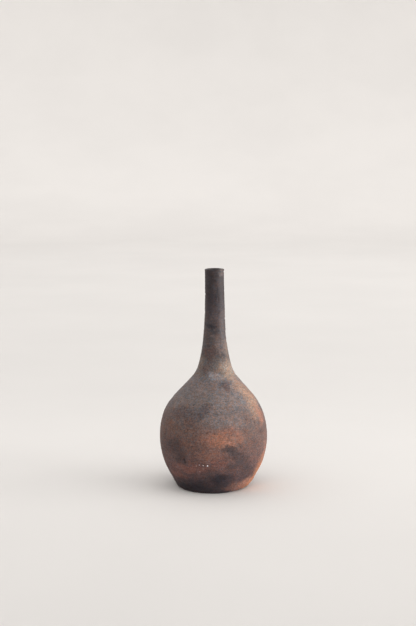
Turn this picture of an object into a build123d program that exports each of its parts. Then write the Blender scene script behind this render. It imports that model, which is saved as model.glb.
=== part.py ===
"""A hand-built stoneware bottle vase with a round belly and a long narrow neck.

The vase stands on the origin with its axis along +Z. Every piece but the mineral
grains is a half section, drawn as radius and height, that is turned about the axis.
Leans are measured from the vertical, in degrees. Lengths are in millimetres.
"""
import os
from math import asin, cos, radians, sin, tan

from build123d import *

# Outer outline, from the foot to the lip
total_height = 260.0
belly_radius = 64.3
belly_height = 60.4
wall_lean = 27.4
belly_arc_radius = 84.4
belly_top_lean = 17.2
shoulder_arc_radius = 65.4
shoulder_lean = 41.6
shoulder_cone_length = 29.8
crease_arc_radius = 34.0
crease_top_lean = 16.5
neck_root_arc_radius = 163.5
neck_root_top_lean = 5.4
neck_taper_arc_radius = 531.0
neck_stem_lean = 0.7
lip_arc_radius = 310.0
lip_lean = 1.9

# Foot
foot_bevel_height = 1.2
foot_bevel_width = 1.8
foot_recess_depth = 1.2
foot_recess_radius = 33.0
foot_recess_slope = 3.0

# Walls and cavity
floor_thickness = 7.5
wall_thickness = 5.0
bore_radius = 7.4
bore_flare_radius = 90.0
floor_coil_radius = 14.0
lip_outer_round = 0.8
lip_inner_round = 1.2

# Liner glaze
glaze_thickness = 0.5
glaze_top = 256.0

# Slip joints, with the scored grooves that key the slip into both edges
slip_thickness = 0.6
score_depth = 0.7
score_width = 0.8
score_pitch = 1.2

# Coils pressed into a V channel along a seam
coil_depth = 2.0
coil_half_width = 3.0

# Feldspar grains: azimuth from the front in degrees, height and grain radius
grain_places = (
    (-6.2, 37.9, 1.0),
    (-11.4, 38.1, 0.8),
    (-15.7, 38.4, 0.6),
    (-19.0, 36.8, 0.55),
    (-11.7, 34.1, 0.55),
    (-15.6, 30.4, 0.55),
)
grain_proud = 0.3  # share of its radius that a grain stands out of the wall

# Distance that cutting shapes run past the clay
margin = 4.0


def leaning(angle):
    """The direction that climbs while it leans outwards by an angle."""
    return Vector(sin(radians(angle)), cos(radians(angle)))


def inward_normal(angle):
    """The direction into the clay, square to a wall that leans inwards by an angle."""
    return Vector(-cos(radians(angle)), -sin(radians(angle)))


# The belly arc is centred here, so the wall below it ends at belly_start
belly_centre = Vector(belly_radius - belly_arc_radius, belly_height)
belly_start = belly_centre + Vector(cos(radians(wall_lean)), -sin(radians(wall_lean))) * belly_arc_radius


def wall_radius(height):
    """Outer radius of the straight wall below the belly arc."""
    return belly_start.X + (height - belly_start.Y) * tan(radians(wall_lean))


def convex_arc(start, lean, radius, turn):
    """An arc that curls towards the axis as it climbs."""
    return JernArc(start, leaning(lean), radius, turn)


def outer_edges():
    """The stretches of the outline from the foot's flat to the lip, by name and in order."""
    flat_end = Vector(wall_radius(foot_bevel_height) - foot_bevel_width, 0)
    bevel_end = Vector(wall_radius(foot_bevel_height), foot_bevel_height)
    bevel = Line(flat_end, bevel_end)
    wall = Line(bevel_end, belly_start)
    belly = convex_arc(belly_start, wall_lean, belly_arc_radius, wall_lean + belly_top_lean)
    shoulder = convex_arc(belly @ 1, -belly_top_lean, shoulder_arc_radius, shoulder_lean - belly_top_lean)
    cone = Line(shoulder @ 1, (shoulder @ 1) + leaning(-shoulder_lean) * shoulder_cone_length)
    crease = JernArc(cone @ 1, cone % 1, crease_arc_radius, crease_top_lean - shoulder_lean)
    root = JernArc(crease @ 1, crease % 1, neck_root_arc_radius, neck_root_top_lean - crease_top_lean)
    taper = JernArc(root @ 1, root % 1, neck_taper_arc_radius, neck_stem_lean - neck_root_top_lean)
    lip_rise = lip_arc_radius * (sin(radians(neck_stem_lean)) + sin(radians(lip_lean)))
    stem_rise = total_height - lip_rise - (taper @ 1).Y
    stem_end = (taper @ 1) + leaning(-neck_stem_lean) * (stem_rise / cos(radians(neck_stem_lean)))
    stem = Line(taper @ 1, stem_end)
    lip = JernArc(stem_end, leaning(-neck_stem_lean), lip_arc_radius, -neck_stem_lean - lip_lean)
    return {
        "bevel": bevel,
        "wall": wall,
        "belly": belly,
        "shoulder": shoulder,
        "cone": cone,
        "crease": crease,
        "root": root,
        "taper": taper,
        "stem": stem,
        "lip": lip,
    }


def closed_section(edges, bottom, top):
    """A half section between the axis and a chain of edges."""
    first = edges[0] @ 0
    last = edges[-1] @ 1
    closing = [Line(last, (0, top)), Line((0, top), (0, bottom)), Line((0, bottom), first)]
    return make_face(Wire(edges + closing))


def rounded_at(section, place, radius):
    """The section with its corner nearest to a place rounded off."""
    corner = section.vertices().sort_by_distance(place)[0]
    return fillet(corner, radius)


def cavity_section(inset, corner_radius, top):
    """The hollow, inset from the bare clay, with a rounded floor corner if it has a radius."""
    floor = floor_thickness + inset
    depth = wall_thickness + inset
    inner_arc_radius = belly_arc_radius - depth
    arc_start = belly_centre + (belly_start - belly_centre) * (inner_arc_radius / belly_arc_radius)
    corner = arc_start - leaning(wall_lean) * ((arc_start.Y - floor) / cos(radians(wall_lean)))
    belly = convex_arc(arc_start, wall_lean, inner_arc_radius, wall_lean + belly_top_lean)
    shoulder = convex_arc(
        belly @ 1, -belly_top_lean, shoulder_arc_radius - depth, shoulder_lean - belly_top_lean
    )
    flare_radius = bore_flare_radius + inset
    flare_run = flare_radius * (1 - cos(radians(shoulder_lean)))
    cone_run = (shoulder @ 1).X - (bore_radius - inset) - flare_run
    cone = Line(
        shoulder @ 1, (shoulder @ 1) + leaning(-shoulder_lean) * (cone_run / sin(radians(shoulder_lean)))
    )
    flare = JernArc(cone @ 1, cone % 1, flare_radius, -shoulder_lean)
    bore = Line(flare @ 1, (bore_radius - inset, top))
    section = closed_section([Line(corner, arc_start), belly, shoulder, cone, flare, bore], floor, top)
    if corner_radius:
        section = rounded_at(section, corner, corner_radius)
    return section


def seam_frame(start, inward):
    """Coordinates along a seam: x runs into the clay from the outer face, y runs across the seam."""
    return Plane(origin=start, x_dir=inward, z_dir=(0, 0, 1))


def scored_slip(seam, depth_from, depth_to):
    """A layer of slip with V ribs on both faces, spaced evenly over the joint's depth."""
    half = slip_thickness / 2
    count = int((depth_to - depth_from) / score_pitch)
    middle = (depth_from + depth_to) / 2
    upper = [(depth_from - margin, half)]
    for rib in range(count):
        centre = middle + (rib - (count - 1) / 2) * score_pitch
        upper.append((centre - score_width / 2, half))
        upper.append((centre, half + score_depth))
        upper.append((centre + score_width / 2, half))
    upper.append((depth_to + margin, half))
    lower = [(x, -y) for x, y in reversed(upper)]
    return seam * make_face(Polyline(*upper, *lower, close=True))


def coil_wedge(seam, tip, mouth):
    """The V channel along a seam, from its tip to past the face that it opens in."""
    half_width = coil_half_width * abs(mouth - tip) / coil_depth
    return seam * make_face(Polyline((tip, 0), (mouth, half_width), (mouth, -half_width), close=True))


def turned(section):
    """The solid that a half section makes when it is turned about the vertical axis."""
    return revolve(Plane.XZ * section, Axis.Z, 360)


# Sections of the whole vase: clay with its hollow, before it is parted at the seams
outline = outer_edges()
bare_hollow = cavity_section(0, 0, total_height + margin)
eased_hollow = cavity_section(0, floor_coil_radius, total_height + margin)
clay = closed_section(list(outline.values()), 0, total_height) - bare_hollow
clay = rounded_at(clay, (bore_radius, total_height), lip_inner_round)
clay = rounded_at(clay, outline["lip"] @ 1, lip_outer_round)
recess = make_face(
    Polyline(
        (0, -margin),
        (foot_recess_radius, -margin),
        (foot_recess_radius, 0),
        (foot_recess_radius - foot_recess_slope, foot_recess_depth),
        (0, foot_recess_depth),
        close=True,
    )
)
clay -= recess


def joint_depth(start, inward):
    """How thick the clay is along a seam."""
    cut = clay & Line(start, start + inward * (wall_thickness + margin))
    return cut.edge().length


# Seams, from the foot upwards: where each meets the outer face, and how deep it runs
foot_seam_height = floor_thickness + slip_thickness / 2
foot_seam_start = Vector(wall_radius(foot_seam_height), foot_seam_height)
belly_seam_start = Vector(belly_radius, belly_height)
neck_seam_start = outline["cone"] @ 1
level_inward = Vector(-1, 0)
neck_inward = inward_normal(shoulder_lean)

foot_seam = seam_frame(foot_seam_start, level_inward)
belly_seam = seam_frame(belly_seam_start, level_inward)
neck_seam = seam_frame(neck_seam_start, neck_inward)
foot_depth = joint_depth(foot_seam_start, level_inward)
belly_depth = joint_depth(belly_seam_start, level_inward)
neck_depth = joint_depth(neck_seam_start, neck_inward)

# The belly coil fills a channel inside the vase, and the neck coil one outside it
belly_coil = clay & coil_wedge(belly_seam, belly_depth - coil_depth, belly_depth + margin)
neck_coil = clay & coil_wedge(neck_seam, coil_depth, -margin)
unparted = clay - belly_coil - neck_coil
foot_slip = unparted & scored_slip(foot_seam, 0, foot_depth)
belly_slip = unparted & scored_slip(belly_seam, 0, belly_depth - coil_depth)
neck_slip = unparted & scored_slip(neck_seam, coil_depth, neck_depth)
sections = (unparted - foot_slip - belly_slip - neck_slip).faces().sort_by(Axis.Y)
foot_slab, bowl_wall, shoulder_dome, neck = sections

glazed_hollow = cavity_section(glaze_thickness, floor_coil_radius - glaze_thickness, glaze_top + margin)
glaze = cavity_section(0, floor_coil_radius, glaze_top) - glazed_hollow


def grain(azimuth, height, radius):
    """A round mineral grain bedded in the belly, standing a little proud of it."""
    rise = asin((height - belly_height) / belly_arc_radius)
    reach = belly_arc_radius - radius * (1 - grain_proud)
    distance = belly_centre.X + reach * cos(rise)
    turn = radians(azimuth)
    centre = (distance * sin(turn), -distance * cos(turn), belly_height + reach * sin(rise))
    return Pos(*centre) * Sphere(radius)


grains = [grain(*place) for place in grain_places]
bowl = turned(bowl_wall)
for one in grains:
    bowl -= one

pieces = {
    "foot_slab": turned(foot_slab),
    "foot_slip": turned(foot_slip),
    "floor_coil": turned(bare_hollow - eased_hollow),
    "bowl_wall": bowl,
    "belly_slip": turned(belly_slip),
    "belly_coil": turned(belly_coil),
    "shoulder_dome": turned(shoulder_dome),
    "neck_slip": turned(neck_slip),
    "neck_coil": turned(neck_coil),
    "neck": turned(neck),
    "liner_glaze": turned(glaze),
    "feldspar_grains": Compound(grains),
}

os.makedirs("parts", exist_ok=True)
for name, piece in pieces.items():
    piece.label = name
    export_step(piece, f"parts/{name}.step")
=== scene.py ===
import random
from math import asin, atan2, cos, hypot, radians, sin, tan, tau

import bmesh
import bpy
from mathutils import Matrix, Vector, geometry, noise


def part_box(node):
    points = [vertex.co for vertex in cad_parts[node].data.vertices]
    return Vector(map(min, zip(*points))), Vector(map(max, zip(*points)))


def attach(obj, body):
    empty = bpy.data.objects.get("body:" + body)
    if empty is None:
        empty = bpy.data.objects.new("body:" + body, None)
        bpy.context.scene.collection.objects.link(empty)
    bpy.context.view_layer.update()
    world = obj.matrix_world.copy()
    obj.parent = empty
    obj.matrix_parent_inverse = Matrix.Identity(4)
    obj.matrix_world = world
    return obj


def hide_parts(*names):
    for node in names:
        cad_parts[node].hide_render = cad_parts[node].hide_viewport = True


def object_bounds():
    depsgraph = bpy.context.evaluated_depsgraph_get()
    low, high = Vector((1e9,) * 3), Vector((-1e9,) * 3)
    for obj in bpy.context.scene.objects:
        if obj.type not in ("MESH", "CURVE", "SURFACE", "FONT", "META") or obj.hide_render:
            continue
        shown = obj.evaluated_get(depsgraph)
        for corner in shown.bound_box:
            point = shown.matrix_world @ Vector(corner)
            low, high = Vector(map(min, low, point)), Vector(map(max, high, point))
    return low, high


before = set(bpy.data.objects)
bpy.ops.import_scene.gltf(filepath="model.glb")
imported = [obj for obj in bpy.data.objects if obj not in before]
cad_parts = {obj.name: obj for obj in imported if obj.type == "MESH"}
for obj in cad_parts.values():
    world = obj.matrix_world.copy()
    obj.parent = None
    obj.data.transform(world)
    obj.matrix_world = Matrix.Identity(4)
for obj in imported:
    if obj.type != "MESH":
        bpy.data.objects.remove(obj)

mm = 0.001
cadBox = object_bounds()
print("frame loaded:", ", ".join(sorted(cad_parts)))


# the profile: every point is (radius, height), every lean is in degrees from upright
shape = {
    "wallLean": 27.4,
    "bellyArc": 84.4 * mm,
    "bellyTopLean": -17.2,
    "shoulderArc": 65.4 * mm,
    "coneLean": -41.6,
    "coneLength": 29.8 * mm,
    "creaseArc": 34.0 * mm,
    "creaseTopLean": -16.5,
    "rootArc": 163.5 * mm,
    "rootTopLean": -5.4,
    "taperArc": 531.0 * mm,
    "stemLean": -0.7,
    "lipArc": 310.0 * mm,
    "lipLean": 1.9,
    "footBevel": (1.8 * mm, 1.2 * mm),  # width and height
    "recess": ((33.0 * mm, 0), (30.0 * mm, 1.2 * mm)),  # its rim, and the edge of its flat top
    "wall": 5.0 * mm,
    "bareBore": 7.4 * mm,               # radius inside the neck before it is glazed
    "boreFlareArc": 90.0 * mm,
    "floorCoilArc": 14.0 * mm,
    "glaze": 0.5 * mm,
    "lipRounds": (0.8 * mm, 1.2 * mm),  # outside and inside
}
pointEvery = {  # how far apart the points of each profile are
    "outside": 0.6 * mm,
    "inside": 1.5 * mm,
    "under": 2.0 * mm,
    "lip": 0.35 * mm,
}

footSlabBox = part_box("foot_slab")
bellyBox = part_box("belly_slip")
totalHeight = cadBox[1].z
bellyRadius = bellyBox[1].x
bellyHeight = (bellyBox[0].z + bellyBox[1].z) / 2
floorTop = footSlabBox[1].z
bellyCentre = Vector((bellyRadius - shape["bellyArc"], bellyHeight))


def heading(lean):
    # the way a profile runs where it leans outwards by so many degrees
    return Vector((sin(radians(lean)), cos(radians(lean))))


def walk(start, lean, stretches, spacing):
    # follows straight and curved stretches of a profile; an arc is (radius, the lean it ends with)
    points = [Vector(start)]
    for size, endLean in stretches:
        turn = radians(endLean - lean)
        length = size * abs(turn) if turn else size
        steps = max(1, round(length / spacing))
        for step in range(steps):
            middle = lean + (endLean - lean) * (step + 0.5) / steps
            points.append(points[-1] + heading(middle) * length / steps)
        lean = endLean
    return points


def outerProfile(spacing):
    # bevel, wall, belly, shoulder, cone, crease, neck and lip
    s = shape
    bevelWidth, bevelHeight = s["footBevel"]
    wallTop = bellyCentre + heading(90 + s["wallLean"]) * s["bellyArc"]
    wallLength = (wallTop.y - bevelHeight) / cos(radians(s["wallLean"]))
    wallFoot = wallTop - heading(s["wallLean"]) * wallLength
    points = [wallFoot - Vector((bevelWidth, bevelHeight))]
    points += walk(wallFoot, s["wallLean"], [
        (wallLength, s["wallLean"]),
        (s["bellyArc"], s["bellyTopLean"]),
        (s["shoulderArc"], s["coneLean"]),
        (s["coneLength"], s["coneLean"]),
    ], spacing)
    coneTop = points[-1]
    points += walk(coneTop, s["coneLean"], [
        (s["creaseArc"], s["creaseTopLean"]),
        (s["rootArc"], s["rootTopLean"]),
        (s["taperArc"], s["stemLean"]),
    ], spacing)[1:]
    lipRise = s["lipArc"] * (sin(radians(s["lipLean"])) - sin(radians(s["stemLean"])))
    stemLength = (totalHeight - lipRise - points[-1].y) / cos(radians(s["stemLean"]))
    points += walk(points[-1], s["stemLean"], [
        (stemLength, s["stemLean"]),
        (s["lipArc"], s["lipLean"]),
    ], spacing)[1:]
    return points, coneTop


def hollowProfile(inset, floorCoil, spacing):
    # the hollow from the floor up, inset by a glaze, with the floor's corner filled by a coil
    s = shape
    depth = s["wall"] + inset
    arc = s["bellyArc"] - depth
    floor = floorTop + inset
    arcStart = bellyCentre + heading(90 + s["wallLean"]) * arc
    wallLength = (arcStart.y - floor) / cos(radians(s["wallLean"]))
    corner = arcStart - heading(s["wallLean"]) * wallLength
    points = [corner]
    if floorCoil:
        reach = floorCoil * tan(radians(90 - s["wallLean"]) / 2)
        wallLength -= reach
        points = walk((0, floor), 90, [(corner.x - reach, 90), (floorCoil, s["wallLean"])], spacing)
    flare = s["boreFlareArc"] + inset
    points += walk(points[-1], s["wallLean"], [
        (wallLength, s["wallLean"]),
        (arc, s["bellyTopLean"]),
        (s["shoulderArc"] - depth, s["coneLean"]),
    ], spacing)[1:]
    coneRun = points[-1].x - (s["bareBore"] - inset) - flare * (1 - cos(radians(s["coneLean"])))
    points += walk(points[-1], s["coneLean"], [
        (coneRun / -sin(radians(s["coneLean"])), s["coneLean"]),
        (flare, 0),
    ], spacing)[1:]
    return points + walk(points[-1], 0, [(totalHeight - points[-1].y, 0)], spacing)[1:]


def between(points, low, high):
    # the stretch of a profile between two heights, with a point on each
    def onHeight(z):
        for a, b in zip(points, points[1:]):
            if min(a.y, b.y) <= z <= max(a.y, b.y) and a.y != b.y:
                return a.lerp(b, (z - a.y) / (b.y - a.y))
        return min(points, key=lambda p: abs(p.y - z)).copy()
    gap = 0.1 * mm
    return [onHeight(low)] + [p for p in points if low + gap < p.y < high - gap] + [onHeight(high)]


outer, coneTop = outerProfile(pointEvery["outside"])
inner = hollowProfile(0, 0, pointEvery["inside"])
print("profile drawn:", len(outer), "points outside,", len(inner), "inside")


# joints between the pieces: scored slip, and coils pressed into V channels
joint = {
    "slip": 0.6 * mm,
    "scoreDepth": 0.7 * mm,
    "scoreWidth": 0.8 * mm,
    "scorePitch": 1.2 * mm,
    "coilDepth": 2.0 * mm,
    "coilHalfWidth": 3.0 * mm,
    "reach": 9.0 * mm,      # deeper than the clay at any seam
    "overshoot": 1.5,       # a channel's sides are drawn this much too long, then cut
}


def seamPoint(seam, depth, across):
    # depth runs into the clay from the outer face, across runs over the seam
    start, lean = seam
    return start + heading(lean - 90) * depth + heading(lean) * across


def meets(points, start, end):
    # where a straight cut crosses a profile
    for a, b in zip(points, points[1:]):
        hit = geometry.intersect_line_line_2d(a, b, start, end)
        if hit:
            return Vector(hit)
    raise ValueError("the cut misses the profile")


def seamEnds(seam, side):
    # both ends of a slip face, on the outer and on the inner profile
    across = side * joint["slip"] / 2
    depths = -joint["coilDepth"], joint["coilDepth"], joint["reach"]
    before, within, beyond = (seamPoint(seam, depth, across) for depth in depths)
    return meets(outer, before, within), meets(inner, within, beyond)


def slipFace(seam, side, first, last):
    # V ribs from the outside in, over the grooves scored between two depths
    half = joint["slip"] / 2
    count = int((last - first) / joint["scorePitch"])
    points = []
    for rib in range(count):
        middle = (first + last) / 2 + (rib - (count - 1) / 2) * joint["scorePitch"]
        for offset, rise in ((-0.5, 0), (0, joint["scoreDepth"]), (0.5, 0)):
            points.append(seamPoint(seam, middle + offset * joint["scoreWidth"], side * (half + rise)))
    return points


def channelSide(seam, tip, opens, side, surface):
    # one side of a coil's V channel: where it leaves the slip, and where it meets the surface
    half = joint["slip"] / 2
    run = half * joint["coilDepth"] / joint["coilHalfWidth"]
    farDepth = tip + opens * joint["overshoot"] * joint["coilDepth"]
    far = seamPoint(seam, farDepth, side * joint["overshoot"] * joint["coilHalfWidth"])
    return seamPoint(seam, tip + opens * run, side * half), meets(surface, seamPoint(seam, tip, 0), far)


slipMiddle = floorTop + joint["slip"] / 2
footSeam = (between(outer, slipMiddle, slipMiddle)[0], 0)
bellySeam = (Vector((bellyRadius, bellyHeight)), 0)
neckSeam = (coneTop, shape["coneLean"])
bellyCoilTip = shape["wall"] - joint["coilDepth"]
neckCoilTip = joint["coilDepth"]
seams = {}
for name, seam in (("foot", footSeam), ("belly", bellySeam), ("neck", neckSeam)):
    seams[name] = {side: seamEnds(seam, side) for side in (-1, 1)}
footDepth = (seams["foot"][1][0] - seams["foot"][1][1]).length
neckInside = meets(inner, seamPoint(neckSeam, neckCoilTip, 0), seamPoint(neckSeam, joint["reach"], 0))
neckDepth = (neckInside - coneTop).length
print("seams set out")


# half sections: loops of (radius, height, share of the relief outwards, share of it upwards)
def skin(points, out=1, lift=0):
    return [(p[0], p[1], out, lift) for p in points]


def footSlabLoop():
    (rimRadius, rimHeight), (dishRadius, dishHeight) = shape["recess"]
    under = walk((0, dishHeight), 90, [(dishRadius, 90)], pointEvery["under"])
    under += [Vector((rimRadius, rimHeight))]
    under += walk((rimRadius, 0), 90, [(outer[0].x - rimRadius, 90)], pointEvery["under"])[1:-1]
    below, inside = seams["foot"][-1]
    loop = skin(under, 0, 1) + skin(between(outer, 0, below.y))
    return loop + skin(slipFace(footSeam, -1, 0, footDepth) + [inside, (0, floorTop)], 0)


def bowlWallLoop():
    low, high = seams["foot"][1], seams["belly"][-1]
    nearTip, mouth = channelSide(bellySeam, bellyCoilTip, 1, -1, inner)
    loop = skin(between(outer, low[0].y, high[0].y))
    loop += skin(slipFace(bellySeam, -1, 0, bellyCoilTip) + [nearTip], 0)
    loop += skin(between(inner, low[1].y, mouth.y)[::-1], 0)
    return loop + skin(slipFace(footSeam, 1, 0, footDepth)[::-1], 0)


def shoulderDomeLoop():
    low, high = seams["belly"][1], seams["neck"][-1]
    bellyTip, bellyMouth = channelSide(bellySeam, bellyCoilTip, 1, 1, inner)
    neckTip, neckMouth = channelSide(neckSeam, neckCoilTip, -1, -1, outer)
    loop = skin(between(outer, low[0].y, neckMouth.y)) + skin([neckTip], 0)
    loop += skin(slipFace(neckSeam, -1, neckCoilTip, neckDepth), 0)
    loop += skin(between(inner, bellyMouth.y, high[1].y)[::-1] + [bellyTip], 0)
    return loop + skin(slipFace(bellySeam, 1, 0, bellyCoilTip)[::-1], 0)


def neckLoop():
    outerRound, innerRound = shape["lipRounds"]
    lipLean = shape["lipLean"]
    nearTip, mouth = channelSide(neckSeam, neckCoilTip, -1, 1, outer)
    roundRise = outerRound * (1 + sin(radians(lipLean)))
    side = between(outer, mouth.y, totalHeight - roundRise)
    roundRun = outerRound * cos(radians(lipLean))
    flat = side[-1].x - roundRun - innerRound - shape["bareBore"]
    stretches = [(outerRound, -90), (flat, -90), (innerRound, -180)]
    lip = walk(side[-1], lipLean, stretches, pointEvery["lip"])
    loop = skin(side) + skin(lip[1:], hand["lipShare"], hand["lipShare"])
    inside = seams["neck"][1][1]
    loop += skin(between(inner, inside.y, lip[-1].y)[-2::-1], 0)
    return loop + skin(slipFace(neckSeam, 1, neckCoilTip, neckDepth)[::-1] + [nearTip], 0)


def slipLoop(seam, ends, first, last, lowEnd=(), highEnd=()):
    # the ribbed layer between two pieces; an end that meets a coil is notched by it
    lower, upper = slipFace(seam, -1, first, last), slipFace(seam, 1, first, last)
    (lowOut, lowIn), (highOut, highIn) = ends[-1], ends[1]
    start = skin(lowEnd, 0) or skin(between(outer, lowOut.y, highOut.y))
    end = skin(highEnd, 0) or skin([highIn, lowIn], 0)
    return start + skin(upper, 0) + end + skin(lower[::-1], 0)


def notch(seam, tip, opens):
    # the three corners where a coil's V bites into the end of a slip layer
    half = joint["slip"] / 2
    run = half * joint["coilDepth"] / joint["coilHalfWidth"]
    return [seamPoint(seam, tip + opens * abs(side) * run, side * half) for side in (-1, 0, 1)]


def neckCoilLoop():
    low = channelSide(neckSeam, neckCoilTip, -1, -1, outer)[1]
    high = channelSide(neckSeam, neckCoilTip, -1, 1, outer)[1]
    return skin(between(outer, low.y, high.y)) + skin([seamPoint(neckSeam, neckCoilTip, 0)], 0)


def linerGlazeLoop():
    # the glaze between the clay and its own face, up to a thin edge inside the mouth
    thickness, coil, bore = shape["glaze"], shape["floorCoilArc"], shape["bareBore"]
    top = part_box("liner_glaze")[1].z
    against = hollowProfile(0, coil, pointEvery["inside"])
    face = hollowProfile(thickness, coil - thickness, pointEvery["inside"])
    against = [p for p in against if p.y < top - thickness] + [Vector((bore, top))]
    face = [p for p in face if p.y < top - thickness] + [Vector((bore - thickness, top))]
    return skin(against, 0) + skin(face[::-1], 0)


# the hand's unevenness, added while each half section is turned into a closed ring
hand = {
    "ringPitch": 4.6 * mm,      # spiral left by the fingers
    "ringDepth": 0.07 * mm,
    "ringFade": (0.6, 0.8),     # its strength, and how much that varies
    "ringFadeSize": 18 * mm,
    "finePitch": 1.15 * mm,     # lines left by the rib
    "fineDepth": 0.022 * mm,
    "wanderSize": 30 * mm,      # both wander up and down
    "ringWander": 2.5,
    "fineWander": 5,
    "lump": 0.28 * mm,          # slow unevenness of the wall
    "lumpSize": 26 * mm,
    "ripple": 0.09 * mm,
    "rippleSize": 7 * mm,
    "pit": 0.30 * mm,           # pits where bits burnt out
    "pitCell": 5.5 * mm,
    "pitRadius": 0.85 * mm,
    "pitSpread": (0.6, 1.3),
    "pitFloor": 0.35,
    "pitShare": 0.30,
    "oval": 0.25 * mm,          # the belly is a little oval, but not its foot
    "ovalAzimuth": 35,
    "ovalFrom": 40 * mm,
    "full": 0.35 * mm,          # the wall swells a little above the foot
    "fullAt": 26 * mm,
    "fullReach": 16 * mm,
    "slim": 0.25 * mm,          # and the shoulder is drawn in under the neck
    "slimAt": 124 * mm,
    "slimReach": 14 * mm,
    "neckShift": 1.55 * mm,     # the neck stands a little to the right of the belly
    "neckShiftFrom": 88 * mm,
    "neckShiftTo": 134 * mm,
    "lipReturn": 0.55 * mm,     # and its tip comes back
    "lipReturnFrom": 205 * mm,
    "lipShare": 0.5,            # the rounding of the lip takes this share of the relief
    "lipReach": 40 * mm,        # the lip's tilt and wave start this far below it
    "lipTilt": 0.9,
    "lipWave": 0.16 * mm,
    "lipWaveSize": 9 * mm,
    "footWear": 1.2 * mm,       # the foot's edge is worn round on the right
    "wearAzimuth": 80,
    "wearSpread": 75,
    "wearHeight": 9 * mm,
    "wearFrom": 0.86,           # share of the foot's radius where the wear starts
}
apart = {  # each noise is read in a place of its own
    "ring": Vector((7, 3, 1)),
    "lump": Vector((4.2, 1.7, 9.1)),
    "ripple": Vector((2.5, 8.3, 5.9)),
}
onAxis = 0.01 * mm


def ease(low, high, value):
    t = min(1, max(0, (value - low) / (high - low)))
    return t * t * (3 - 2 * t)


def relief(angle, radius, z):
    # how far the clay stands off the drawn profile at this spot
    h = hand
    spot = Vector((radius * sin(angle), -radius * cos(angle), z))
    wander = noise.noise(spot / h["wanderSize"])
    ring = sin(tau * z / h["ringPitch"] + angle + h["ringWander"] * wander)
    strength, change = h["ringFade"]
    ring *= strength + change * noise.noise(spot / h["ringFadeSize"] + apart["ring"])
    fine = sin(tau * z / h["finePitch"] + angle + h["fineWander"] * wander)
    lump = noise.noise(spot / h["lumpSize"] + apart["lump"])
    ripple = noise.noise(spot / h["rippleSize"] + apart["ripple"])
    near, centres = noise.voronoi(spot / h["pitCell"])
    chance = noise.cell(centres[0] * 37.7)  # spread out, so that each pit draws its own chance
    pit = 0
    if chance < h["pitShare"]:
        least, more = h["pitSpread"]
        size = h["pitRadius"] * (least + more * chance)
        pit = 1 - ease(h["pitFloor"], 1, near[0] * h["pitCell"] / size)
    swell = cos(2 * (angle - radians(h["ovalAzimuth"]))) * h["oval"] * ease(0, h["ovalFrom"], z)
    swell += h["full"] * (1 - ease(0, h["fullReach"], abs(z - h["fullAt"])))
    swell -= h["slim"] * (1 - ease(0, h["slimReach"], abs(z - h["slimAt"])))
    return (ring * h["ringDepth"] + fine * h["fineDepth"] + lump * h["lump"]
            + ripple * h["ripple"] + swell - pit * h["pit"])


def settle(x, y, z):
    # the neck moves over, the lip tilts and the foot wears by the same amounts inside and out
    h = hand
    shift = h["neckShift"] * ease(h["neckShiftFrom"], h["neckShiftTo"], z)
    shift -= h["lipReturn"] * ease(h["lipReturnFrom"], totalHeight, z)
    nearLip = ease(totalHeight - h["lipReach"], totalHeight, z)
    lift = tan(radians(h["lipTilt"])) * x * nearLip
    lift += h["lipWave"] * nearLip * noise.noise(Vector((x, y, 0)) / h["lipWaveSize"])
    towards = cos(atan2(x, -y) - radians(h["wearAzimuth"]))
    worn = h["footWear"] * ease(cos(radians(h["wearSpread"])), 1, towards) * (1 - ease(0, h["wearHeight"], z))
    worn *= ease(h["wearFrom"] * outer[0].x, outer[0].x, hypot(x, y))
    inward = 1 - worn / max(hypot(x, y), mm)
    return Vector((x * inward + shift, y * inward, max(0, z + lift + worn)))


def addPiece(name, bm):
    mesh = bpy.data.meshes.new(name)
    bm.to_mesh(mesh)
    bm.free()
    piece = bpy.data.objects.new(name, mesh)
    bpy.context.scene.collection.objects.link(piece)
    return piece


def turn(name, loop, steps):
    # the loop is turned step by step; points on the axis close into a pole
    bm = bmesh.new()
    rings = []
    for radius, height, out, lift in loop:
        if radius < onAxis:
            rings.append([bm.verts.new(settle(0, 0, height))] * steps)
            continue
        ring = []
        for step in range(steps):
            angle = tau * step / steps
            bump = relief(angle, radius, height) if out or lift else 0
            reach = radius + bump * out
            place = settle(reach * sin(angle), -reach * cos(angle), height + bump * lift)
            ring.append(bm.verts.new(place))
        rings.append(ring)
    poles = loop[0][0] < onAxis and loop[-1][0] < onAxis
    pairs = list(zip(rings, rings[1:])) + ([] if poles else [(rings[-1], rings[0])])
    for lower, upper in pairs:
        for step in range(steps):
            following = (step + 1) % steps
            corners = [lower[step], lower[following], upper[following], upper[step]]
            bm.faces.new(dict.fromkeys(corners)).smooth = True
    bmesh.ops.recalc_face_normals(bm, faces=bm.faces)
    return addPiece(name, bm)


def keepEdges(piece, limit):
    # corners sharper than the limit stay crisp, everything else is shaded smooth
    bm = bmesh.new()
    bm.from_mesh(piece.data)
    for edge in bm.edges:
        edge.smooth = len(edge.link_faces) == 2 and edge.calc_face_angle(0) < radians(limit)
    bm.to_mesh(piece.data)
    bm.free()


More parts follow.
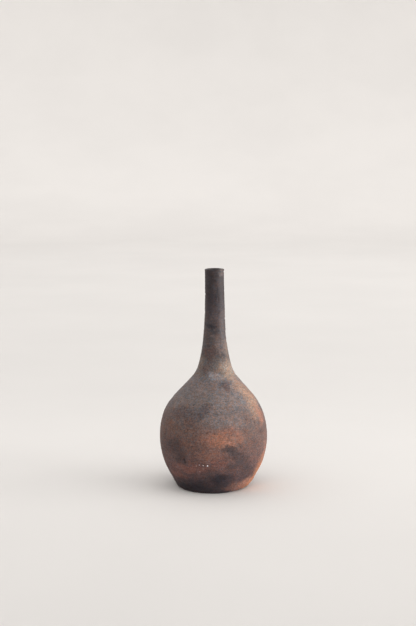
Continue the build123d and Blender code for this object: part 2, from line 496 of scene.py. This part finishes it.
crispFrom = 50  # degrees between faces
pieces = {  # name: (section, how many steps round, the CAD node it stands for)
    "footSlab": (footSlabLoop(), 512, "foot_slab"),
    "footSlip": (slipLoop(footSeam, seams["foot"], 0, footDepth), 512, "foot_slip"),
    "bowlWall": (bowlWallLoop(), 512, "bowl_wall"),
    "bellySlip": (
        slipLoop(bellySeam, seams["belly"], 0, bellyCoilTip, highEnd=notch(bellySeam, bellyCoilTip, 1)[::-1]),
        512, "belly_slip",
    ),
    "shoulderDome": (shoulderDomeLoop(), 384, "shoulder_dome"),
    "neckSlip": (
        slipLoop(neckSeam, seams["neck"], neckCoilTip, neckDepth, lowEnd=notch(neckSeam, neckCoilTip, -1)),
        256, "neck_slip",
    ),
    "neckCoil": (neckCoilLoop(), 512, "neck_coil"),
    "neck": (neckLoop(), 256, "neck"),
    "linerGlaze": (linerGlazeLoop(), 128, "liner_glaze"),
}

made = {}
for name, (loop, steps, node) in pieces.items():
    made[name] = turn(name, loop, steps)
    keepEdges(made[name], crispFrom)
    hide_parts(node)
    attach(made[name], "root")
    print("turned", name, "with", len(made[name].data.polygons), "faces")


# smoke-marked stoneware, coloured by place on the vase
clay = {
    "tones": [  # the clay's own colour up the vase: (height in mm, colour)
        (0, (0.030, 0.021, 0.026)),
        (18, (0.068, 0.041, 0.043)),
        (34, (0.110, 0.061, 0.057)),
        (60, (0.122, 0.072, 0.062)),
        (76, (0.126, 0.078, 0.067)),
        (92, (0.122, 0.088, 0.082)),
        (110, (0.154, 0.128, 0.124)),
        (128, (0.154, 0.127, 0.126)),
        (142, (0.128, 0.107, 0.102)),
        (156, (0.084, 0.067, 0.064)),
        (172, (0.072, 0.055, 0.056)),
        (196, (0.058, 0.044, 0.046)),
        (214, (0.044, 0.032, 0.036)),
        (232, (0.027, 0.020, 0.023)),
        (260, (0.029, 0.022, 0.025)),
    ],
    "colours": {
        "soot": (0.018, 0.014, 0.020),
        "smoke": (0.055, 0.037, 0.038),
        "dusk": (0.118, 0.090, 0.086),
        "slate": (0.088, 0.072, 0.076),
        # ash and mist are pale haze; on the front of the shoulder and the root of the neck they also paint
        # the sheen there into the colour
        "ashAndSheen": (0.270, 0.245, 0.255),
        "mistAndSheen": (0.185, 0.150, 0.145),
        "tan": (0.280, 0.205, 0.158),
        "umber": (0.078, 0.048, 0.046),
        "rust": (0.120, 0.060, 0.044),
        "ochre": (0.320, 0.205, 0.148),
        "flame": (0.300, 0.140, 0.094),
        "ember": (0.410, 0.172, 0.084),
        "brick": (0.205, 0.105, 0.082),
        "rose": (0.170, 0.078, 0.066),
    },
    "marks": [  # (azimuth from the front, height, half width, half height in mm, colour, strength)
        # neck
        (60, 232, 6, 40, "slate", 0.12),
        (60, 196, 8, 22, "dusk", 0.30),
        (50, 257, 6, 5, "dusk", 0.65),
        (14, 244, 5, 14, "slate", 0.30),
        (-66, 214, 6, 34, "umber", 0.20),
        (-22, 222, 9, 15, "soot", 0.35),
        (-24, 195, 7.5, 2.6, "soot", 0.90),
        (-4, 192.5, 4.5, 2, "soot", 0.75),
        (0, 182, 6, 4.5, "dusk", 0.60),
        (2, 210, 5, 15, "slate", 0.30),
        (26, 172, 9, 12, "dusk", 0.70),
        (36, 169, 2.4, 1.6, "soot", 0.80),
        (14, 163, 1.8, 1.8, "soot", 0.60),
        (34, 160, 1.8, 2.6, "soot", 0.70),
        (-24, 161, 10, 8, "umber", 0.80),
        # root of the neck
        (-66, 147, 10, 9, "tan", 0.35),
        (-42, 146, 9, 6, "dusk", 0.60),
        (-20, 143, 7, 6, "umber", 0.40),
        (-8, 152, 4, 5, "umber", 0.40),
        (56, 142, 14, 12, "tan", 0.80),
        (40, 136, 10, 7, "tan", 0.45),
        (60, 166, 6, 14, "tan", 0.42),
        # the ash mark here is pale haze and painted sheen
        (1, 137, 9, 6.5, "ashAndSheen", 0.55),
        (26, 126, 10, 4.5, "slate", 0.90),
        (30, 122, 6, 4, "umber", 0.60),
        # shoulder
        # the mist marks on the shoulder are pale haze and painted sheen
        (-66, 126, 14, 8, "mistAndSheen", 0.50),
        (-22, 120, 11, 5, "mistAndSheen", 0.60),
        (2, 106, 9, 7, "mistAndSheen", 0.55),
        (26, 110, 20, 8, "mistAndSheen", 0.45),
        (60, 124, 12, 10, "ochre", 0.70),
        (66, 108, 13, 18, "ochre", 0.85),
        (58, 96, 12, 9, "ochre", 0.50),
        (-46, 97, 20, 7, "umber", 0.55),
        (-18, 97, 14, 7, "slate", 0.70),
        (-10, 102, 8, 6, "slate", 0.90),
        (-26, 88, 10, 6, "umber", 0.40),
        (4, 91, 20, 9, "mistAndSheen", 0.60),
        (-3, 81, 12, 6, "mistAndSheen", 0.40),
        (22, 84, 10, 5, "flame", 0.25),
        (24, 88, 15, 9, "mistAndSheen", 0.55),
        (68, 90, 11, 13, "flame", 0.90),
        # belly
        (-52, 80, 16, 7, "rust", 0.50),
        (-42, 66, 10, 6, "smoke", 0.35),
        (16, 76, 19, 8, "brick", 0.70),
        (-4, 69, 17, 12, "brick", 0.90),
        (6, 72, 16, 8, "flame", 0.55),
        (9, 64, 15, 6.5, "flame", 0.80),
        (26, 70, 12, 6, "flame", 0.40),
        (-66, 56, 12, 18, "smoke", 0.50),
        (-46, 56, 18, 13, "smoke", 0.85),
        (-38, 44, 9, 7, "smoke", 0.75),
        (50, 60, 8, 11, "umber", 0.55),
        (60, 72, 8, 4, "smoke", 0.45),
        (70, 56, 7, 16, "brick", 0.55),
        (-4, 50, 16, 9, "brick", 0.70),
        (4, 42, 14, 6, "rose", 0.60),
        (18, 56, 8, 4.5, "smoke", 0.95),
        (26, 50, 10, 6, "smoke", 0.85),
        (32, 40, 13, 9, "smoke", 0.75),
        (20, 37, 9, 5, "smoke", 0.60),
        (40, 30, 12, 8, "smoke", 0.70),
        (0, 27, 13, 7, "smoke", 0.70),
        # low wall and foot
        (-33, 44, 1.8, 2.0, "soot", 0.90),
        (-30, 33, 26, 5.5, "rose", 0.80),
        (-52, 22, 18, 8, "rose", 0.60),
        (8, 20, 16, 9, "soot", 0.95),
        (14, 14, 8, 4, "soot", 0.30),
        (-20, 13, 17, 7, "soot", 0.60),
        (-34, 6, 24, 4.5, "soot", 0.90),
        (6, 8, 12, 5, "soot", 0.35),
        (28, 6, 14, 4, "brick", 0.40),
        (44, 9, 17, 8, "brick", 0.75),
        (54, 11, 14, 8, "flame", 0.80),
        (62, 26, 9, 6, "flame", 0.35),
        (64, 6, 12, 6, "ember", 0.75),
        (77, 22, 19, 22, "ember", 0.95),
        (78, 44, 9, 14, "flame", 0.70),
        # round the back
        (96, 160, 8, 16, "umber", 0.50),
        (100, 132, 12, 8, "tan", 0.45),
        (92, 112, 17, 11, "ochre", 0.55),
        (118, 90, 22, 16, "slate", 0.70),
        (96, 84, 16, 7, "flame", 0.50),
        (98, 62, 16, 11, "brick", 0.60),
        (102, 32, 20, 9, "flame", 0.60),
        (96, 12, 18, 7, "flame", 0.55),
        (124, 18, 22, 11, "smoke", 0.75),
        (122, 118, 16, 10, "mistAndSheen", 0.55),
        (128, 62, 22, 13, "flame", 0.55),
        (134, 40, 20, 8, "rose", 0.60),
        (146, 96, 18, 9, "umber", 0.55),
        (150, 140, 10, 7, "ashAndSheen", 0.50),
        (160, 74, 18, 10, "brick", 0.65),
        (168, 48, 22, 12, "smoke", 0.80),
        (172, 106, 14, 8, "mistAndSheen", 0.60),
        (176, 178, 8, 18, "umber", 0.55),
        (178, 20, 22, 8, "rose", 0.50),
        (188, 88, 16, 8, "slate", 0.60),
        (194, 124, 12, 6, "slate", 0.80),
        (200, 62, 18, 10, "flame", 0.60),
        (204, 9, 30, 6, "soot", 0.85),
        (208, 140, 10, 7, "tan", 0.55),
        (214, 40, 18, 9, "brick", 0.60),
        (220, 100, 16, 10, "mistAndSheen", 0.50),
        (226, 72, 16, 10, "smoke", 0.75),
        (234, 24, 20, 9, "smoke", 0.80),
        (238, 118, 12, 8, "umber", 0.45),
        (246, 86, 16, 8, "rust", 0.60),
        (250, 52, 16, 10, "rose", 0.60),
        (256, 204, 6, 20, "dusk", 0.50),
        (262, 26, 16, 8, "brick", 0.45),
    ],
    "drift": 8 * mm,            # how far the smoke's edges wander
    "driftSize": 22 * mm,
    "scatter": 4.0 * mm,        # and how far they break up into grains
    "scatterSize": 2.0 * mm,
    "spread": 1.3,              # how far a mark's soft edge runs past its size
    "edge": (0.0, 0.77),        # where that soft edge starts, and where it is full
    "cellSize": 1.1 * mm,       # grains of the body, each a little lighter, darker, warmer or cooler
    "cellShade": (0.77, 1.23),
    "cellWarm": (1.24, 0.98, 0.80),
    "cellCool": (0.80, 1.02, 1.18),
    "blotchSize": 4.5 * mm,
    "blotch": (0.85, 1.15),
    "rustSize": 7 * mm,         # patches where iron shows through
    "rustWarm": (1.09, 0.99, 0.94),
    "rustCool": (0.92, 1.01, 1.07),
    "strokeSize": 8 * mm,       # faint level strokes left by wiping and turning
    "strokeFlat": 6,
    "stroke": (0.87, 1.13),
    "speckCell": 2.6 * mm,
    "speckShare": 0.33,
    "speckRadius": 0.36,        # in cells
    "speckTone": 0.42,
    "speckRagged": (2 * mm, 0.6 * mm),  # size and reach of their ragged edge
    "sandCell": 1.9 * mm,
    "sandShare": 0.06,
    "sandRadius": 0.17,
    "sandColour": (0.38, 0.32, 0.27),
    "roughness": (0.62, 0.88),
    "neckRoughness": (0.54, 0.64),
    "neckFrom": (0.5, 0.66),    # the neck's finish comes in between these shares of the height
    "specular": 0.35,
    "raised": {                 # how much each stands up in the bump
        "grain": 0.30,
        "stroke": 0.35,
        "blotch": 0.30,
        "speck": -0.30,
        "sand": 0.25,
    },
    "bump": (0.5, 0.5 * mm),    # strength and depth
}
wide = (0.3, 0.7)               # where a noise does most of its changing
narrow = (0.35, 0.65)


def addNode(tree, kind, **settings):
    node = tree.nodes.new(kind)
    for key, value in settings.items():
        setattr(node, key, value)
    return node


def plug(tree, node, inputs):
    # sets or links each input, by its name or its place in the list
    for name, value in inputs.items():
        if isinstance(value, bpy.types.NodeSocket):
            tree.links.new(value, node.inputs[name])
        else:
            node.inputs[name].default_value = value


def number(tree, operation, *values):
    node = addNode(tree, "ShaderNodeMath", operation=operation)
    plug(tree, node, dict(enumerate(values)))
    return node.outputs[0]


def vector(tree, operation, *values):
    node = addNode(tree, "ShaderNodeVectorMath", operation=operation)
    plug(tree, node, dict(enumerate(values)))
    return node.outputs["Vector"]


def lengthOf(tree, value):
    node = addNode(tree, "ShaderNodeVectorMath", operation="LENGTH")
    plug(tree, node, {0: value})
    return node.outputs["Value"]


def heightOf(tree, spot):
    node = addNode(tree, "ShaderNodeSeparateXYZ")
    plug(tree, node, {0: spot})
    return node.outputs["Z"]


def remap(tree, value, source, target=(0, 1)):
    node = addNode(tree, "ShaderNodeMapRange", interpolation_type="SMOOTHSTEP")
    plug(tree, node, dict(enumerate((value, *source, *target))))
    return node.outputs[0]


def mixed(tree, factor, a, b):
    # colours are given as three numbers or as a socket
    node = addNode(tree, "ShaderNodeMix", data_type="RGBA")
    a, b = ((*c, 1) if isinstance(c, tuple) else c for c in (a, b))
    plug(tree, node, {0: factor, 6: a, 7: b})
    return node.outputs[2]


def tinted(tree, colour, tint):
    return vector(tree, "MULTIPLY", colour, tint)


def bumped(tree, height, strength, depth):
    node = addNode(tree, "ShaderNodeBump")
    plug(tree, node, {"Height": height, "Strength": strength, "Distance": depth})
    return node.outputs["Normal"]


def noiseAt(tree, spot, size, detail=3, roughness=0.55):
    node = addNode(tree, "ShaderNodeTexNoise")
    plug(tree, node, {"Vector": spot, "Scale": 1 / size, "Detail": detail, "Roughness": roughness})
    return node.outputs


def cellsAt(tree, spot, size):
    node = addNode(tree, "ShaderNodeTexVoronoi")
    plug(tree, node, {"Vector": spot, "Scale": 1 / size})
    return node.outputs


def wandered(tree, spot, size, reach):
    # the same place pushed about by noise
    push = vector(tree, "SUBTRACT", noiseAt(tree, spot, size)["Color"], (0.5, 0.5, 0.5))
    return vector(tree, "MULTIPLY_ADD", push, (2 * reach,) * 3, spot)


def dotsAt(tree, spot, size, share, radius):
    # round dots in a share of the cells: 1 inside, 0 outside
    cells = cellsAt(tree, spot, size)
    longest = 1.7  # of the random colours that the cells have
    chosen = number(tree, "LESS_THAN", lengthOf(tree, cells["Color"]), longest * share)
    return number(tree, "MULTIPLY", remap(tree, cells["Distance"], (radius, radius / 2)), chosen)


def addMark(tree, spot, below, mark):
    # one smoke or flame mark: a soft oval laid over the colour below it
    azimuth, height, halfWidth, halfHeight, tone, strength = mark
    angle = radians(azimuth)
    radius = between(outer, height * mm, height * mm)[0].x
    blob = addNode(tree, "ShaderNodeTexGradient", gradient_type="SPHERICAL")
    blob.texture_mapping.vector_type = "TEXTURE"
    blob.texture_mapping.translation = (radius * sin(angle), -radius * cos(angle), height * mm)
    blob.texture_mapping.rotation = (0, 0, angle)
    halfSizes = halfWidth * mm, max(radius, halfWidth * mm), halfHeight * mm
    blob.texture_mapping.scale = [clay["spread"] * size for size in halfSizes]
    plug(tree, blob, {0: spot})
    mask = remap(tree, blob.outputs["Fac"], clay["edge"], (0, strength))
    return mixed(tree, mask, below, clay["colours"][tone])


def ownColour(tree, spot):
    # the ramp of tones up the vase
    share = number(tree, "DIVIDE", heightOf(tree, spot), totalHeight)
    node = addNode(tree, "ShaderNodeValToRGB")
    stops = node.color_ramp.elements
    for index, (level, colour) in enumerate(clay["tones"]):
        stop = stops[index] if index < 2 else stops.new(1)
        stop.position = level * mm / totalHeight
        stop.color = (*colour, 1)
    plug(tree, node, {0: share})
    return node.outputs["Color"]


def newMaterial(name):
    # the material, its tree, its shader and the place on the piece
    material = bpy.data.materials.new(name)
    material.use_nodes = True
    tree = material.node_tree
    spot = addNode(tree, "ShaderNodeTexCoord").outputs["Object"]
    return material, tree, tree.nodes["Principled BSDF"], spot


def makeClay(name):
    c = clay
    material, tree, shader, spot = newMaterial(name)
    smoky = wandered(tree, wandered(tree, spot, c["driftSize"], c["drift"]), c["scatterSize"], c["scatter"])

    colour = ownColour(tree, smoky)
    for mark in c["marks"]:
        colour = addMark(tree, smoky, colour, mark)

    # grains, blotches, iron and level strokes lighten, darken, warm and cool it
    cells = cellsAt(tree, spot, c["cellSize"])
    grain = addNode(tree, "ShaderNodeSeparateColor")
    plug(tree, grain, {0: cells["Color"]})
    blotch = noiseAt(tree, spot, c["blotchSize"], 4, 0.65)["Fac"]
    iron = noiseAt(tree, vector(tree, "ADD", spot, (1, 2, 3)), c["rustSize"], 5, 0.7)["Fac"]
    stroke = noiseAt(tree, vector(tree, "MULTIPLY", spot, (1, 1, c["strokeFlat"])), c["strokeSize"])["Fac"]
    for shade in (
        remap(tree, grain.outputs["Red"], (0, 1), c["cellShade"]),
        remap(tree, blotch, wide, c["blotch"]),
        remap(tree, stroke, wide, c["stroke"]),
        mixed(tree, grain.outputs["Green"], c["cellCool"], c["cellWarm"]),
        mixed(tree, remap(tree, iron, narrow), c["rustCool"], c["rustWarm"]),
    ):
        colour = tinted(tree, colour, shade)

    # burnt specks and pale sand
    ragged = wandered(tree, spot, *c["speckRagged"])
    specks = dotsAt(tree, ragged, c["speckCell"], c["speckShare"], c["speckRadius"])
    colour = mixed(tree, specks, colour, tinted(tree, colour, (c["speckTone"],) * 3))
    elsewhere = vector(tree, "ADD", spot, (0.3, 0.1, 0.2))
    sand = dotsAt(tree, elsewhere, c["sandCell"], c["sandShare"], c["sandRadius"])
    colour = mixed(tree, sand, colour, c["sandColour"])

    # the neck is a little smoother
    onNeck = remap(tree, heightOf(tree, spot), [share * totalHeight for share in c["neckFrom"]])
    rough = remap(tree, blotch, wide, c["roughness"])
    smooth = remap(tree, blotch, wide, c["neckRoughness"])
    finish = addNode(tree, "ShaderNodeMix", data_type="FLOAT")
    plug(tree, finish, {0: onNeck, 2: rough, 3: smooth})

    # relief too fine for the mesh
    raised = number(tree, "MULTIPLY", grain.outputs["Red"], c["raised"]["grain"])
    for part, height in (("stroke", stroke), ("blotch", blotch), ("speck", specks), ("sand", sand)):
        raised = number(tree, "MULTIPLY_ADD", height, c["raised"][part], raised)
    plug(tree, shader, {
        "Base Color": colour,
        "Roughness": finish.outputs[0],
        "Normal": bumped(tree, raised, *c["bump"]),
        "Specular IOR Level": c["specular"],
    })
    return material


smokedClay = makeClay("smokedClay")
for name in made:
    if name != "linerGlaze":
        made[name].data.materials.append(smokedClay)
print("clay fired:", len(clay["marks"]), "marks")


# body clay of the coils pressed in from the inside, where no smoke reached
bodyClay = {
    "fired": (0.30, 0.205, 0.150),
    "grey": (0.20, 0.165, 0.145),
    "patchSize": 14 * mm,
    "grogCell": 1.6 * mm,
    "grogShare": 0.22,
    "grogRadius": 0.3,
    "grogColour": (0.42, 0.34, 0.27),
    "ironCell": 3.1 * mm,
    "ironShare": 0.12,
    "ironColour": (0.05, 0.028, 0.018),
    "grogRaised": 0.3,
    "fingerSize": 6 * mm,       # dents left by the fingers that pressed the coil
    "fingerFlat": 4,
    "bump": (0.6, 0.6 * mm),
    "roughness": (0.8, 0.95),
}


def makeBodyClay(name):
    b = bodyClay
    material, tree, shader, spot = newMaterial(name)
    patch = noiseAt(tree, spot, b["patchSize"], 5, 0.6)["Fac"]
    finger = noiseAt(tree, vector(tree, "MULTIPLY", spot, (1, 1, b["fingerFlat"])), b["fingerSize"])["Fac"]
    grog = dotsAt(tree, spot, b["grogCell"], b["grogShare"], b["grogRadius"])
    elsewhere = vector(tree, "ADD", spot, (0.2, 0.4, 0.1))
    iron = dotsAt(tree, elsewhere, b["ironCell"], b["ironShare"], b["grogRadius"])
    colour = mixed(tree, remap(tree, patch, narrow), b["grey"], b["fired"])
    colour = mixed(tree, grog, colour, b["grogColour"])
    colour = mixed(tree, iron, colour, b["ironColour"])
    raised = number(tree, "MULTIPLY_ADD", grog, b["grogRaised"], finger)
    plug(tree, shader, {
        "Base Color": colour,
        "Normal": bumped(tree, raised, *b["bump"]),
        "Roughness": remap(tree, patch, wide, b["roughness"]),
    })
    return material


pressedClay = makeBodyClay("pressedClay")
for node in ("floor_coil", "belly_coil"):
    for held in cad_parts[node].material_slots:
        held.material = pressedClay
print("coils dressed")


# a dark iron glaze inside, that pools and breaks over the turning rings
glaze = {
    "pool": (0.016, 0.010, 0.008),
    "brown": (0.062, 0.030, 0.016),
    "breaks": (0.165, 0.082, 0.036),
    "flowSize": 12 * mm,
    "flowLong": 0.35,           # stretched down the wall
    "ringPitch": 4.6 * mm,
    "ringBend": 9,              # how far the flow bends the rings
    "ringShare": 0.12,
    "brownEdge": (0.34, 0.56),
    "breaksEdge": (0.54, 0.74),
    "spotCell": 1.4 * mm,
    "spotShare": 0.16,
    "spotRadius": 0.26,
    "bump": (0.4, 0.4 * mm),
    "roughness": (0.10, 0.26),
}


def makeGlaze(name):
    g = glaze
    material, tree, shader, spot = newMaterial(name)
    stretched = vector(tree, "MULTIPLY", spot, (1, 1, g["flowLong"]))
    flow = noiseAt(tree, stretched, g["flowSize"], 5, 0.6)["Fac"]
    bend = number(tree, "MULTIPLY", flow, g["ringBend"])
    turns = number(tree, "MULTIPLY_ADD", heightOf(tree, spot), tau / g["ringPitch"], bend)
    rings = number(tree, "MULTIPLY_ADD", number(tree, "SINE", turns), g["ringShare"], flow)
    colour = mixed(tree, remap(tree, rings, g["brownEdge"]), g["pool"], g["brown"])
    colour = mixed(tree, remap(tree, rings, g["breaksEdge"]), colour, g["breaks"])
    spots = dotsAt(tree, spot, g["spotCell"], g["spotShare"], g["spotRadius"])
    colour = mixed(tree, spots, colour, g["breaks"])
    plug(tree, shader, {
        "Base Color": colour,
        "Normal": bumped(tree, rings, *g["bump"]),
        "Roughness": remap(tree, flow, wide, g["roughness"]),
    })
    return material


made["linerGlaze"].data.materials.append(makeGlaze("ironGlaze"))
print("inside glazed")


# cleaved bits of feldspar bedded in the belly
feldspar = {
    "places": [  # (azimuth from the front, height in mm, radius in mm, tone)
        (-6.7, 38.1, 1.2, "white"),
        (-11.4, 38.2, 0.95, "pink"),
        (-15.6, 38.6, 0.75, "lilac"),
        (-19.0, 36.9, 0.65, "grey"),
        (-11.7, 34.1, 0.55, "grey"),
        (-15.6, 30.4, 0.55, "lilac"),
    ],
    "tones": {
        "white": (0.88, 0.85, 0.80),
        "pink": (0.66, 0.50, 0.48),
        "lilac": (0.50, 0.45, 0.50),
        "grey": (0.38, 0.38, 0.34),
    },
    "proud": 0.3,               # share of its radius that a grain stands out of the clay
    "facets": 9,
    "facetReach": (0.80, 0.95),
    "wornEdge": 0.05,
    "wornLumps": 2.3,
    "veinSize": 0.35 * mm,
    "veinFlat": 3,
    "veinShade": (0.72, 1.12),
    "glow": (0.15, 0.4 * mm),   # light let in: how much, and how deep
    "bump": (0.4, 0.1 * mm),
    "roughness": (0.32, 0.6),
    "seed": 11,
}


def makeSpar(name, tone):
    f = feldspar
    material, tree, shader, spot = newMaterial(name)
    vein = noiseAt(tree, vector(tree, "MULTIPLY", spot, (1, 1, f["veinFlat"])), f["veinSize"], 4, 0.7)["Fac"]
    plug(tree, shader, {
        "Base Color": tinted(tree, remap(tree, vein, wide, f["veinShade"]), tone),
        "Normal": bumped(tree, vein, *f["bump"]),
        "Subsurface Weight": f["glow"][0],
        "Subsurface Scale": f["glow"][1],
        "Roughness": remap(tree, vein, wide, f["roughness"]),
    })
    return material


def addGrain(bm, azimuth, height, size, draw):
    # a ball cut back by random cleavage planes, seated on the uneven clay
    angle = radians(azimuth)
    rise = asin((height * mm - bellyHeight) / shape["bellyArc"])
    onWall = bellyCentre + Vector((cos(rise), sin(rise))) * shape["bellyArc"]
    depth = size * (1 - feldspar["proud"]) - relief(angle, onWall.x, onWall.y)
    seat = onWall - Vector((cos(rise), sin(rise))) * depth
    centre = settle(seat.x * sin(angle), -seat.x * cos(angle), seat.y)
    planes = []
    for facet in range(feldspar["facets"]):
        lean = Vector((draw.gauss(0, 1), draw.gauss(0, 1), draw.gauss(0, 1))).normalized()
        planes.append((lean, draw.uniform(*feldspar["facetReach"])))
    ball = bmesh.ops.create_icosphere(bm, subdivisions=4, radius=1)["verts"]
    for vert in ball:
        out = vert.co.normalized()
        cuts = [stop / out.dot(lean) for lean, stop in planes if out.dot(lean) > 0.1]  # those it faces
        reach = min([1] + cuts)
        reach += feldspar["wornEdge"] * noise.noise(out * feldspar["wornLumps"] + centre / mm)
        vert.co = centre + out * reach * size
    return {face for vert in ball for face in vert.link_faces}


def makeGrains(name):
    bm = bmesh.new()
    draw = random.Random(feldspar["seed"])
    tones = list(feldspar["tones"])
    for azimuth, height, size, tone in feldspar["places"]:
        for face in addGrain(bm, azimuth, height, size * mm, draw):
            face.material_index = tones.index(tone)
            face.smooth = True
    piece = addPiece(name, bm)
    for tone, colour in feldspar["tones"].items():
        piece.data.materials.append(makeSpar(tone + "Feldspar", colour))
    return piece


grains = makeGrains("feldsparGrains")
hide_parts("feldspar_grains")
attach(grains, "root")
print("grains bedded:", len(feldspar["places"]))


# a pale paper sweep all round, a big soft window on the right, pale fill from above
stage = {
    "floorRadius": 4.2,
    "sweepRadius": 3.0,
    "wallHeight": 4.6,
    "sweepSpacing": 0.2,
    "sweepSteps": 96,
    "paper": (0.790, 0.770, 0.753),
    # the paper is painted lighter round the vase's foot, against its shadow, and in the bend of the sweep,
    # where less light reaches; it is darker towards the front and up the wall
    "paperPaintedLight": [             # painted light and shade on the paper from front to back: (place, share)
        (-0.50, 0.91),
        (-0.22, 0.96),
        (0.05, 1.04),
        (0.18, 1.04),
        (0.60, 0.99),
        (1.50, 1.01),
        (4.00, 1.01),
        (5.20, 1.04),
        (6.40, 0.98),
        (7.20, 0.90),
    ],
    "paperPaintedShade": [               # and painted shade, darker towards the window, so the paper isn't burnt out there
        (0.90, 1.00),
        (1.40, 0.80),
        (2.40, 0.50),
        (3.40, 0.29),
        (4.00, 0.27),
        (4.40, 0.42),
        (4.60, 1.00),
    ],
    "paintedShadeWidth": (1.2, 3.0),     # the painted shade is full in front of the window, and gone this far to the side
    "cloudSize": 0.55,
    "cloud": (0.985, 1.015),
    "paperRoughness": 0.95,
    "paperSpecular": 0.1,
    "fill": (1.0, 0.988, 0.972, 1),
    "fillStrength": 1.02,
    "window": (4.2, 1.0),
    "windowAzimuth": 12,        # from straight right, towards the front
    "windowElevation": 7,
    "windowDistance": 4.5,
    "windowColour": (1.0, 0.985, 0.965),
    "windowPower": 214,
    "wash": (2.5, 1.0),         # a weak lamp behind the vase that lights the right of the wall
    "washFrom": (0.8, 2.2, 2.6),
    "washTo": (1.0, 6.5, 0.8),
    "washPower": 9,
}


def shareAlong(tree, value, stops):
    # a share that changes along straight stretches between (place, share) stops
    front, back = stops[0][0], stops[-1][0]
    most = max(share for place, share in stops)
    along = addNode(tree, "ShaderNodeMapRange")
    plug(tree, along, {0: value, 1: front, 2: back})
    drawn = addNode(tree, "ShaderNodeFloatCurve")
    curve = drawn.mapping.curves[0]
    for place, share in stops[1:-1]:
        curve.points.new((place - front) / (back - front), share / most)
    for point, (place, share) in zip(curve.points, stops):
        point.location = ((place - front) / (back - front), share / most)
        point.handle_type = "VECTOR"
    drawn.mapping.update()
    plug(tree, drawn, {1: along.outputs[0]})
    return number(tree, "MULTIPLY", drawn.outputs[0], most)


def makePaper(name):
    s = stage
    material, tree, shader, spot = newMaterial(name)
    parts = addNode(tree, "ShaderNodeSeparateXYZ")
    plug(tree, parts, {0: spot})
    x, y = parts.outputs["X"], parts.outputs["Y"]
    side = radians(s["windowAzimuth"])
    # painted shade: the paper is darker towards the window, full in front of it and fading out to the sides
    towards = number(tree, "MULTIPLY_ADD", y, -sin(side), number(tree, "MULTIPLY", x, cos(side)))
    sideways = number(tree, "MULTIPLY_ADD", y, cos(side), number(tree, "MULTIPLY", x, sin(side)))
    facing = remap(tree, number(tree, "ABSOLUTE", sideways), s["paintedShadeWidth"], (1, 0))
    taken = number(tree, "SUBTRACT", shareAlong(tree, towards, s["paperPaintedShade"]), 1)
    paintedShade = number(tree, "MULTIPLY_ADD", taken, facing, 1)
    # painted light and shade from front to back, times the painted shade towards the window
    shade = number(tree, "MULTIPLY", shareAlong(tree, y, s["paperPaintedLight"]), paintedShade)
    cloud = remap(tree, noiseAt(tree, spot, s["cloudSize"])["Fac"], wide, s["cloud"])
    plug(tree, shader, {
        "Base Color": tinted(tree, number(tree, "MULTIPLY", shade, cloud), s["paper"]),
        "Roughness": s["paperRoughness"],
        "Specular IOR Level": s["paperSpecular"],
    })
    return material


def makeStage():
    s = stage
    bm = bmesh.new()
    section = walk((0, 0), 90, [(s["floorRadius"], 90), (s["sweepRadius"], 0)], s["sweepSpacing"])
    section.append(section[-1] + Vector((0, s["wallHeight"] - s["sweepRadius"])))
    verts = [bm.verts.new((p.x, 0, p.y)) for p in section]
    edges = [bm.edges.new(pair) for pair in zip(verts, verts[1:])]
    bmesh.ops.spin(bm, geom=verts + edges, axis=(0, 0, 1), cent=(0, 0, 0), angle=tau,
                   steps=s["sweepSteps"], use_merge=True)
    bmesh.ops.remove_doubles(bm, verts=bm.verts, dist=mm)
    bmesh.ops.recalc_face_normals(bm, faces=bm.faces)
    for face in bm.faces:
        face.smooth = True
    sweep = addPiece("paperSweep", bm)
    sweep.data.materials.append(makePaper("paper"))


def addLamp(name, size, power, place, target):
    lamp = bpy.data.lights.new(name, "AREA")
    lamp.shape = "RECTANGLE"
    lamp.size, lamp.size_y = size
    lamp.energy = power
    lamp.color = stage["windowColour"]
    holder = bpy.data.objects.new(name, lamp)
    holder.location = place
    holder.rotation_euler = (place - target).to_track_quat("Z", "Y").to_euler()
    holder.visible_camera = False
    bpy.context.scene.collection.objects.link(holder)


def makeLights():
    s = stage
    world = bpy.data.worlds.new("studio")
    bpy.context.scene.world = world
    world.use_nodes = True
    sky = world.node_tree
    plug(sky, sky.nodes["Background"], {"Color": s["fill"], "Strength": s["fillStrength"]})
    middle = (cadBox[0] + cadBox[1]) / 2
    side, rise = radians(s["windowAzimuth"]), radians(s["windowElevation"])
    away = Vector((cos(side) * cos(rise), -sin(side) * cos(rise), sin(rise)))
    addLamp("window", s["window"], s["windowPower"], middle + away * s["windowDistance"], middle)
    addLamp("wash", s["wash"], s["washPower"], Vector(s["washFrom"]), Vector(s["washTo"]))


makeStage()
makeLights()
print("stage and lights set")


camera = {
    "lens": 70,
    "sensor": 36,
    "place": (-0.0065, -1.428, 0.392),
    "pitch": 7.355,
}


def makeCamera():
    data = bpy.data.cameras.new("camera")
    data.lens = camera["lens"]
    data.sensor_width = camera["sensor"]
    cam = bpy.data.objects.new("camera", data)
    cam.location = camera["place"]
    cam.rotation_euler = (radians(90 - camera["pitch"]), 0, 0)
    bpy.context.scene.collection.objects.link(cam)
    bpy.context.scene.camera = cam


makeCamera()
print("camera placed")
bpy.context.scene.view_settings.view_transform = "Standard"
